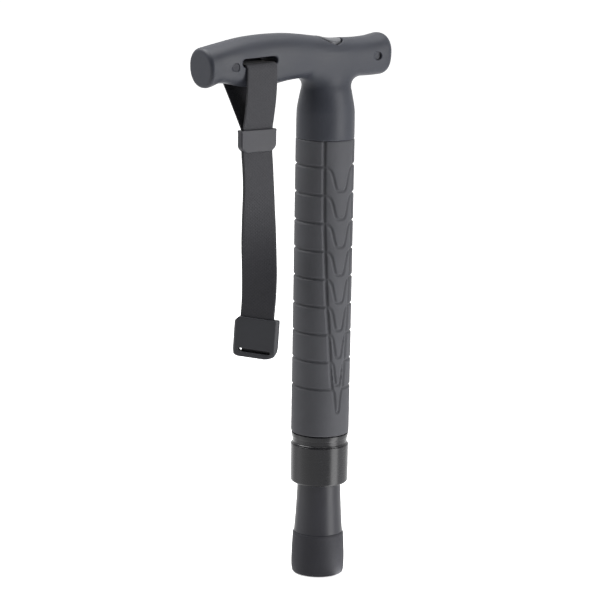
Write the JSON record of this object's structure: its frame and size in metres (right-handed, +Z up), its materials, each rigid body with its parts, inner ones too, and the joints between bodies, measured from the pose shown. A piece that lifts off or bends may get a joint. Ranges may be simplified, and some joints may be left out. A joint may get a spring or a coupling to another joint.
{
  "type": "telescopic walking cane",
  "caption": "Telescopic T-handle support cane, stored short, with treaded rubber grip sleeve, thumb release button, wrist strap and rubber foot.",
  "frame": {"origin": "centre of the rubber foot's underside, on the shaft axis, where the cane stands on the floor", "axes": "+Z up along the shaft, -X along the handle towards its long nose, -Y towards the side with the screw recesses"},
  "size_m": [0.1253, 0.0356, 0.3206],
  "materials": {
    "handle_plastic": "fine moulded texture, dark grey",
    "gloss_plastic": "smooth black, glossy",
    "boot_plastic": "satin charcoal",
    "sleeve_rubber": "matte moulded rubber",
    "foot_rubber": "matte rubber",
    "webbing": "woven nylon, plain weave",
    "buckle_plastic": "satin moulded plastic",
    "tube_aluminium": "dark anodised, drawn tube",
    "bush_plastic": "natural acetal",
    "steel": "zinc plated",
    "brass_insert": "turned brass"
  },
  "bodies": {
    "tip": {"stage_4_tube": "tube_aluminium", "stage_4_guide": "bush_plastic", "latch_post": "steel", "stage_4_plug": "tube_aluminium", "tip_boot": "boot_plastic", "tip_screw": "steel", "foot_washer": "steel", "rubber_foot": "foot_rubber"},
    "stage_3": {"stage_3_tube": "tube_aluminium", "stage_3_guide": "bush_plastic", "stage_3_end_ring": "gloss_plastic"},
    "stage_2": {"stage_2_tube": "tube_aluminium", "stage_2_guide": "bush_plastic", "stage_2_end_ring": "gloss_plastic"},
    "stage_1": {"stage_1_tube": "tube_aluminium", "stage_1_guide": "bush_plastic", "stage_1_end_ring": "gloss_plastic"},
    "grip": {"handle_front_shell": "handle_plastic", "handle_back_shell": "handle_plastic", "handle_screws": "steel", "screw_inserts": "brass_insert", "screw_plug": "handle_plastic", "outer_tube": "tube_aluminium", "grip_sleeve": "sleeve_rubber", "spacer_ring": "gloss_plastic", "end_collar": "gloss_plastic", "outer_bush": "bush_plastic", "latch_housing": "bush_plastic", "brake_spring": "steel", "button_spring": "steel", "strap_upper": "webbing"},
    "button": {"release_button": "handle_plastic", "button_stem": "bush_plastic"},
    "shoe": {"brake_shoe": "bush_plastic"},
    "strap": {"strap_tail": "webbing", "end_buckle": "buckle_plastic"},
    "keeper": {"strap_keeper": "buckle_plastic"}
  },
  "joints": [
    {"name": "button_press", "type": "slide", "parent": "grip", "child": "button", "axis": [0, 0, -1], "range_m": [0, 0.003], "stiffness_N_per_m": 400, "springref_m": -0.0005, "deforming": ["button_spring"]},
    {"name": "brake_release", "type": "slide", "parent": "grip", "child": "shoe", "axis": [1, 0, 0], "range_m": [0, 0.001], "deforming": ["brake_spring"]},
    {"name": "stage_4_slide", "type": "slide", "parent": "tip", "child": "stage_3", "axis": [0, 0, 1], "range_m": [0, 0.149]},
    {"name": "stage_3_slide", "type": "slide", "parent": "stage_3", "child": "stage_2", "axis": [0, 0, 1], "range_m": [0, 0.149]},
    {"name": "stage_2_slide", "type": "slide", "parent": "stage_2", "child": "stage_1", "axis": [0, 0, 1], "range_m": [0, 0.149]},
    {"name": "stage_1_slide", "type": "slide", "parent": "stage_1", "child": "grip", "axis": [0, 0, 1], "range_m": [0, 0.149]},
    {"name": "strap_swing", "type": "hinge", "parent": "grip", "child": "strap", "pos_m": [-0.0515, -0.0063, 0.271], "axis": [1, 0, 0], "range_deg": [-70, 70]},
    {"name": "keeper_slide", "type": "slide", "parent": "strap", "child": "keeper", "axis": [0, 0, -1], "range_m": [0, 0.012]}
  ],
  "couplings": [
    {"joint": "brake_release", "follows": "button_press", "ratio": 0.33333}
  ]
}
